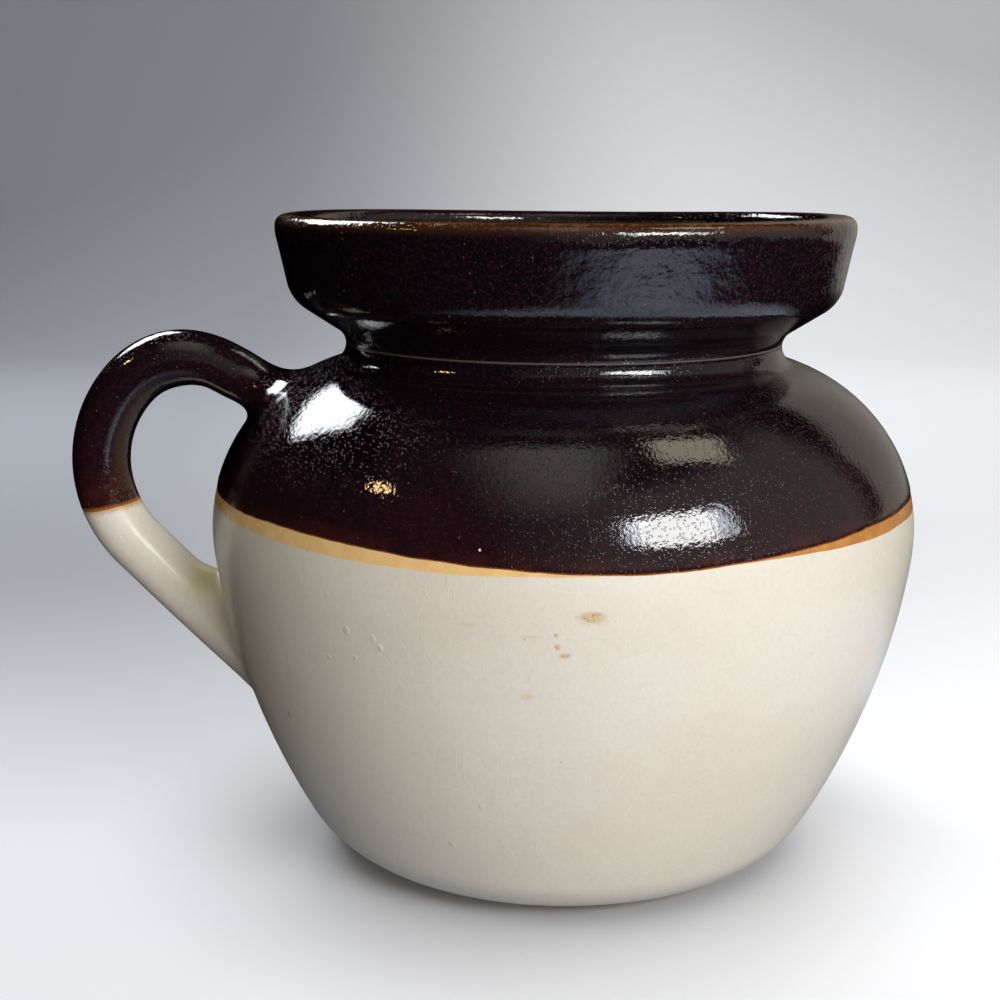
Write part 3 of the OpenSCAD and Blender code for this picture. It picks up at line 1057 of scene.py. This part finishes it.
lower_outer = lower_part(0, surface_depth)
lower_inner = lower_part(glaze, clay_depth)
cream_handle = handle_coat(
    "cream_glaze_on_handle", lower_outer, lower_inner,
    {"stain": lambda r: np.clip(1 + above_handle_edge(r) / handle_stain_reach, 0, 1),
     "pool_and_shade": pool_and_valley_shade})
dress(cream_handle, "cream_glaze", cream_finish, "cream_glaze_handle")

# %% Clay of the handle and its luting
handle_core = upper_inner + lower_inner[1:]
clay_handle = ring_mesh(
    "stoneware_handle", handle_core[::-1],
    tip=tuple(handle_core[-1].mean(0)), end=tuple(handle_core[0].mean(0)))
dress(clay_handle, "stoneware", clay_finish, "handle", "upper_luting", "lower_luting")

# %% [markdown]
# ## Floor and light
# The pot stands on a pale floor that curves up into a wall. Two wide fills that mirror rays don't
# meet give the soft light. Windows, sashes and a lamp give the highlights: each stands where the
# glaze mirrors it to the right place. The floor is pale to the camera and mostly dark to mirror
# rays, since the glaze shows a dark room with a few bright patches.

# %% Floor
floor_front = -3.0
floor_depth = 1.1
floor_width = 3.0
cove_radius = 0.5
wall_height = 1.6
cove = [(floor_front, 0.0), (floor_depth, 0.0)]
cove += [(floor_depth + cove_radius * sin(a), cove_radius * (1 - cos(a)))
         for a in np.linspace(0, pi / 2, 24)[1:]]
cove.append((floor_depth + cove_radius, wall_height))
floor_points = [(x, y, z) for y, z in cove for x in (-floor_width, floor_width)]
floor_faces = [(2 * i, 2 * i + 1, 2 * i + 3, 2 * i + 2) for i in range(len(cove) - 1)]
floor_mesh = bpy.data.meshes.new("floor")
floor_mesh.from_pydata(floor_points, [], floor_faces)
floor_mesh.shade_smooth()
floor = bpy.data.objects.new("floor", floor_mesh)
scene.collection.objects.link(floor)
floor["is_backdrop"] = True
print("floor", 2 * floor_width, "m wide")

# %% Finish of the floor
# The left of the wall and table is darker: painted shade, as the light comes from the right.
wall_left_in_shade = (0.30, 0.31, 0.34)
wall_right = (0.70, 0.71, 0.74)
table_left_in_shade = (0.53, 0.54, 0.57)
table_right = (0.74, 0.75, 0.78)
bounce_left = (0.17, 0.167, 0.163)
bounce_right = (0.30, 0.295, 0.29)
warm_wall = (1.0, 0.93, 0.82)
cool_table = (0.80, 0.92, 1.15)
black = (0.0, 0.0, 0.0)
shade_reach = 0.07
floor_finish, ground, floor_shader = new_material("floor")


def floor_patch(centre, inner, outer):
    """1 within a distance of a spot on the floor, fading out further away."""
    gap = vector(ground, "DISTANCE", place(ground), centre)
    return ramp(ground, gap.outputs["Value"], inner, outer, 1.0, 0.0)


floor_x, floor_y, _ = node(ground, "ShaderNodeSeparateXYZ", {0: place(ground)}).outputs
to_right = ramp(ground, floor_x, -0.28, 0.28)
in_front = ramp(ground, floor_y, -0.1, 0.3, 1.0, 0.0)
wall_tone = mix(ground, to_right, wall_left_in_shade, wall_right)
table_tone = mix(ground, to_right, table_left_in_shade, table_right)
pale = mix(ground, in_front, wall_tone, table_tone)
# To the camera the floor also glows, painted light that keeps it pale and fades towards the wall.
open_floor = node(ground, "ShaderNodeAmbientOcclusion", {"Distance": shade_reach}).outputs["AO"]
# Ambient occlusion dims that glow near the pot: a painted contact shadow.
pale_glow_with_painted_shade = product(ground, ramp(ground, open_floor, 0.15, 0.9),
                 ramp(ground, floor_y, -0.1, 0.4, 0.72, 0.30))

under_foot = product(ground, floor_patch((0, 0, 0), 0.12, 0.16), 0.7)
clear_of_foot = calc(ground, "SUBTRACT", 1.0, under_foot)
near_pot = product(ground, floor_patch((0.10, -0.07, 0), 0.13, 0.26), 0.85, clear_of_foot)
in_window_light = floor_patch((0.18, -0.28, 0), 0.05, 0.24)
table_glow = calc(ground, "MAXIMUM", near_pot, in_window_light)
wall_glow = product(ground, ramp(ground, floor_x, 0.2, 0.9, 0.0, 0.42),
                    ramp(ground, floor_y, 0.35, 0.8))
mirror_room = mix(ground, wall_glow, black, warm_wall)
mirror_room = mix(ground, table_glow, mirror_room, cool_table)

light_path = node(ground, "ShaderNodeLightPath")
seen = light_path.outputs["Is Camera Ray"]
mirrored = light_path.outputs["Is Glossy Ray"]
bounce = mix(ground, to_right, bounce_left, bounce_right)
bounce = mix(ground, mirrored, bounce, black)
glow = mix(ground, mirrored, pale, mirror_room)
glow_strength = calc(ground, "ADD", product(ground, seen, pale_glow_with_painted_shade), mirrored)
ground.links.new(mix(ground, seen, bounce, pale), floor_shader.inputs["Base Color"])
ground.links.new(glow, floor_shader.inputs["Emission Color"])
ground.links.new(glow_strength, floor_shader.inputs["Emission Strength"])
floor_shader.inputs["Specular IOR Level"].default_value = 0.0
floor_shader.inputs["Roughness"].default_value = 0.7
floor_mesh.materials.append(floor_finish)
print("floor finish:", floor_finish.name)


# %% Lamps
lamp_aim = Vector((0, 0, 0.1))
daylight = (1.0, 0.99, 0.98)
sash_blue = (0.85, 0.92, 1.0)


def window(name, bearing, height, distance, width, tall, watts, colour, roll=0.0):
    """A soft rectangular lamp that faces the pot, placed by its bearing and height in degrees."""
    lamp = bpy.data.lights.new(name, "AREA")
    lamp.shape = "RECTANGLE"
    lamp.size = width
    lamp.size_y = tall
    lamp.energy = watts
    lamp.color = colour
    a = radians(bearing)
    h = radians(height)
    way = Vector((cos(a) * cos(h), sin(a) * cos(h), sin(h)))
    holder = bpy.data.objects.new(name, lamp)
    scene.collection.objects.link(holder)
    holder.location = lamp_aim + way * distance
    holder.rotation_mode = "QUATERNION"
    spin = Quaternion((0, 0, 1), radians(roll))
    holder.rotation_quaternion = (-way).to_track_quat("-Z", "Y") @ spin
    return holder


window("front_window", -55.8, 26, 1.2, 0.45, 0.32, 5.8, daylight)
window("left_sash", -69.5, 26.5, 1.2, 0.12, 0.28, 0.75, sash_blue)
window("right_sash", -41.0, 27, 1.2, 0.16, 0.30, 1.0, sash_blue)
window("back_window", 129, 36.5, 1.2, 0.62, 0.37, 7.6, (0.93, 0.97, 1.0))
window("ceiling_patch", -11, 61.5, 1.2, 0.36, 0.32, 0.85, (1.0, 0.93, 0.7), roll=-49)
window("lamp", -161, 36.5, 1.2, 0.09, 0.05, 0.5, (1.0, 0.66, 0.3))
front_fill = window("front_fill", -74, 4, 1.5, 0.9, 0.36, 11.7, daylight)
back_fill = window("back_fill", 70, 35, 1.5, 0.9, 0.7, 8.0, daylight)
for fill in (front_fill, back_fill):
    fill.visible_glossy = False

# %% Room round the pot
world = bpy.data.worlds.new("studio")
scene.world = world
world.use_nodes = True
sky = world.node_tree
sky_way = node(sky, "ShaderNodeTexCoord").outputs["Generated"]
sky_x, sky_y, sky_z = node(sky, "ShaderNodeSeparateXYZ", {0: sky_way}).outputs
backdrop = 0.5
warm_white = (1.0, 0.96, 0.89, 1)

front_ceiling = product(
    sky, ramp(sky, sky_z, 0.45, 1.0, 0.0, 0.65), ramp(sky, sky_y, -0.14, -0.03, 1.0, 0.0),
    ramp(sky, sky_x, -0.5, -0.05), ramp(sky, sky_x, 0.05, 0.3, 1.0, 0.0))
bright_side = product(
    sky, ramp(sky, sky_x, -0.5, 0.5, 0.0, 0.26), ramp(sky, sky_z, 0.72, 0.86, 1.0, 0.0),
    ramp(sky, sky_y, 0.2, 0.45, 1.0, 0.0))
mirror_sky = calc(sky, "MAXIMUM", front_ceiling, bright_side)
soft_sky = ramp(sky, sky_x, 0.1, 0.95, 0.0, 0.2)
sky_path = node(sky, "ShaderNodeLightPath")
sky_mirrored = sky_path.outputs["Is Glossy Ray"]
unmirrored = calc(sky, "SUBTRACT", 1.0, sky_mirrored)
room = calc(sky, "ADD", product(sky, sky_mirrored, mirror_sky), product(sky, unmirrored, soft_sky))
strength = calc(sky, "ADD", product(sky, sky_path.outputs["Is Camera Ray"], backdrop), room)
sky_light = sky.nodes["Background"]
sky_light.inputs["Color"].default_value = warm_white
sky.links.new(strength, sky_light.inputs["Strength"])
scene.view_settings.view_transform = "Standard"

# %% [markdown]
# ## Close
# The dressed pot's box is measured against the construction box and the growth is printed, so
# that a piece that grew too large shows at once.

# %% Write the sizes and finish
new_low, new_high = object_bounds()
growth = ((new_high - new_low) - (cad_high - cad_low)) / MM
print("grown by", [round(value, 2) for value in growth], "mm")
